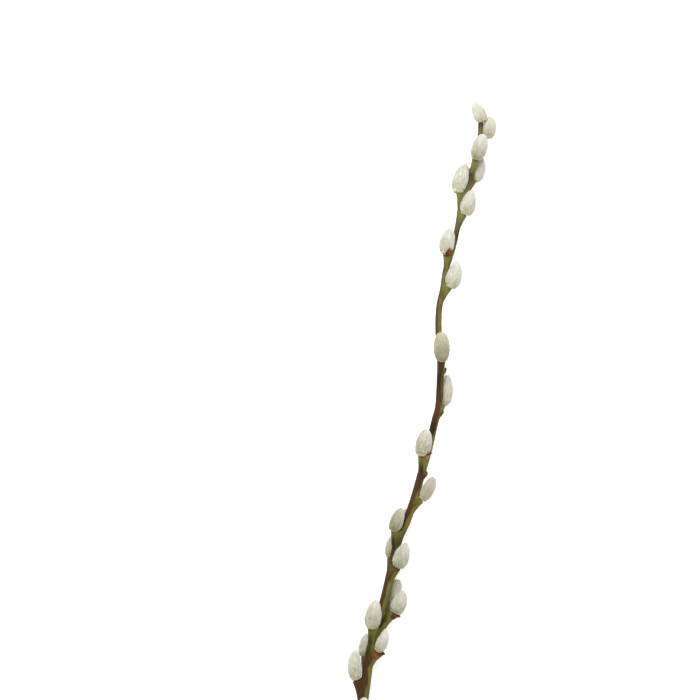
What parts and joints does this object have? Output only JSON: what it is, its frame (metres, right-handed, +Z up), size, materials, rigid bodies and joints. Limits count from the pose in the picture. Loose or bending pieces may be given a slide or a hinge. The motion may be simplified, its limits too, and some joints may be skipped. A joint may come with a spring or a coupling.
{
  "type": "pussy willow branch",
  "caption": "Cut pussy willow branch lying flat: a slender green and red-brown stem carries silky white catkins on short spurs all round it, some with their brown bud scale.",
  "frame": {"origin": "middle of the bounding box, at the level of the surface the branch lies on", "axes": "+Y along the branch to its tip, +Z up from the surface, +X to the right seen from above with the tip away"},
  "size_m": [0.124, 0.5392, 0.0247],
  "materials": {
    "bark": "satin",
    "silk": "matte",
    "husk": "satin"
  },
  "bodies": {
    "root": {"stem": "bark", "catkin_01": "silk", "catkin_02": "silk", "catkin_03": "silk", "catkin_04": "silk", "catkin_05": "silk", "catkin_06": "silk", "catkin_07": "silk", "catkin_08": "silk", "catkin_09": "silk", "catkin_10": "silk", "catkin_11": "silk", "catkin_12": "silk", "catkin_13": "silk", "catkin_14": "silk", "catkin_15": "silk", "catkin_16": "silk", "catkin_17": "silk", "catkin_18": "silk", "catkin_19": "silk", "catkin_20": "silk", "catkin_21": "silk", "catkin_22": "silk", "catkin_23": "silk", "catkin_24": "silk", "catkin_25": "silk", "catkin_26": "silk", "catkin_27": "silk", "catkin_28": "silk", "catkin_29": "silk", "catkin_30": "silk", "bud_scale_08": "husk", "bud_scale_14": "husk", "bud_scale_19": "husk", "bud_scale_21": "husk", "bud_scale_23": "husk", "bud_scale_27": "husk"}
  },
  "joints": []
}
